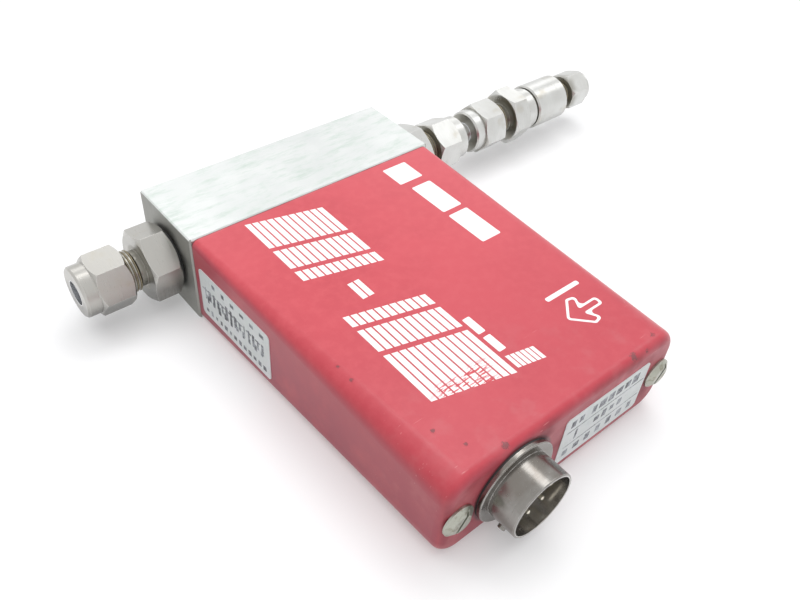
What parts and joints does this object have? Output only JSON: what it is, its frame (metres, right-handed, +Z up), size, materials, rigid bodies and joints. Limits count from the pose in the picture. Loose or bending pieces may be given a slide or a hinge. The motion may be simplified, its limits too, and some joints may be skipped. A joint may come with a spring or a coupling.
{
  "type": "mass flow controller",
  "caption": "Thermal mass flow controller lying on its side: steel base block, painted cover, round connector, compression fittings and an in-line filter on the inlet.",
  "frame": {"origin": "centre of the block's mounting face, the narrow face away from the cover", "axes": "+X along the flow axis toward the inlet and its filter, +Y out of the mounting face, so the connector end is -Y, +Z up from the large side it lies on"},
  "size_m": [0.1881, 0.1237, 0.026],
  "materials": {
    "ground_steel": "fine ground grain along the flow axis",
    "cover_paint": "satin red paint",
    "fitting_steel": "turned and lightly polished",
    "plated_shell": "polished nickel plate",
    "screw_plate": "dull plated",
    "label_film": "matt printed film",
    "seal_rubber": "matt black",
    "black_plastic": "moulded, matt",
    "gold_contact": "gold plated",
    "circuit_board": "green resist",
    "chip_case": "moulded, matt",
    "resistor_body": "matt",
    "can_metal": "satin",
    "trimmer_body": "moulded",
    "lead_sleeve": "insulated",
    "winding_wire": "enamelled fine wire",
    "sintered_steel": "porous, matt",
    "valve_ball_ceramic": "polished"
  },
  "bodies": {
    "root": {"base_block": "ground_steel", "board_capacitors": "can_metal", "board_chips": "chip_case", "board_resistors": "resistor_body", "board_screws": "screw_plate", "board_spacers": "can_metal", "connector_board": "circuit_board", "connector_gasket": "seal_rubber", "connector_insert": "black_plastic", "connector_nut": "plated_shell", "connector_pins": "gold_contact", "connector_shell": "plated_shell", "cover": "cover_paint", "cover_screws": "screw_plate", "end_back_ferrule": "fitting_steel", "end_front_ferrule": "fitting_steel", "end_nut": "fitting_steel", "filter_back_ferrule": "fitting_steel", "filter_body": "fitting_steel", "filter_cap": "fitting_steel", "filter_element": "sintered_steel", "filter_front_ferrule": "fitting_steel", "filter_nut": "fitting_steel", "filter_seal_ring": "fitting_steel", "flow_bypass": "fitting_steel", "front_label": "label_film", "inlet_back_ferrule": "fitting_steel", "inlet_fitting": "fitting_steel", "inlet_front_ferrule": "fitting_steel", "inlet_nut": "fitting_steel", "inlet_o_ring": "seal_rubber", "link_header": "black_plastic", "link_tube": "fitting_steel", "main_board": "circuit_board", "outlet_back_ferrule": "fitting_steel", "outlet_fitting": "fitting_steel", "outlet_front_ferrule": "fitting_steel", "outlet_nut": "fitting_steel", "outlet_o_ring": "seal_rubber", "sensor_base": "fitting_steel", "sensor_housing": "can_metal", "sensor_leads": "lead_sleeve", "sensor_o_rings": "seal_rubber", "sensor_screws": "screw_plate", "sensor_tube": "fitting_steel", "sensor_windings": "winding_wire", "side_label": "label_film", "support_posts": "can_metal", "trim_pots": "trimmer_body", "valve_ball": "valve_ball_ceramic", "valve_cap": "fitting_steel", "valve_heater": "winding_wire", "valve_housing": "fitting_steel", "valve_leads": "lead_sleeve", "valve_o_ring": "seal_rubber", "valve_screws": "screw_plate", "valve_seat": "fitting_steel", "valve_stem": "fitting_steel", "valve_tube": "fitting_steel"}
  },
  "joints": []
}
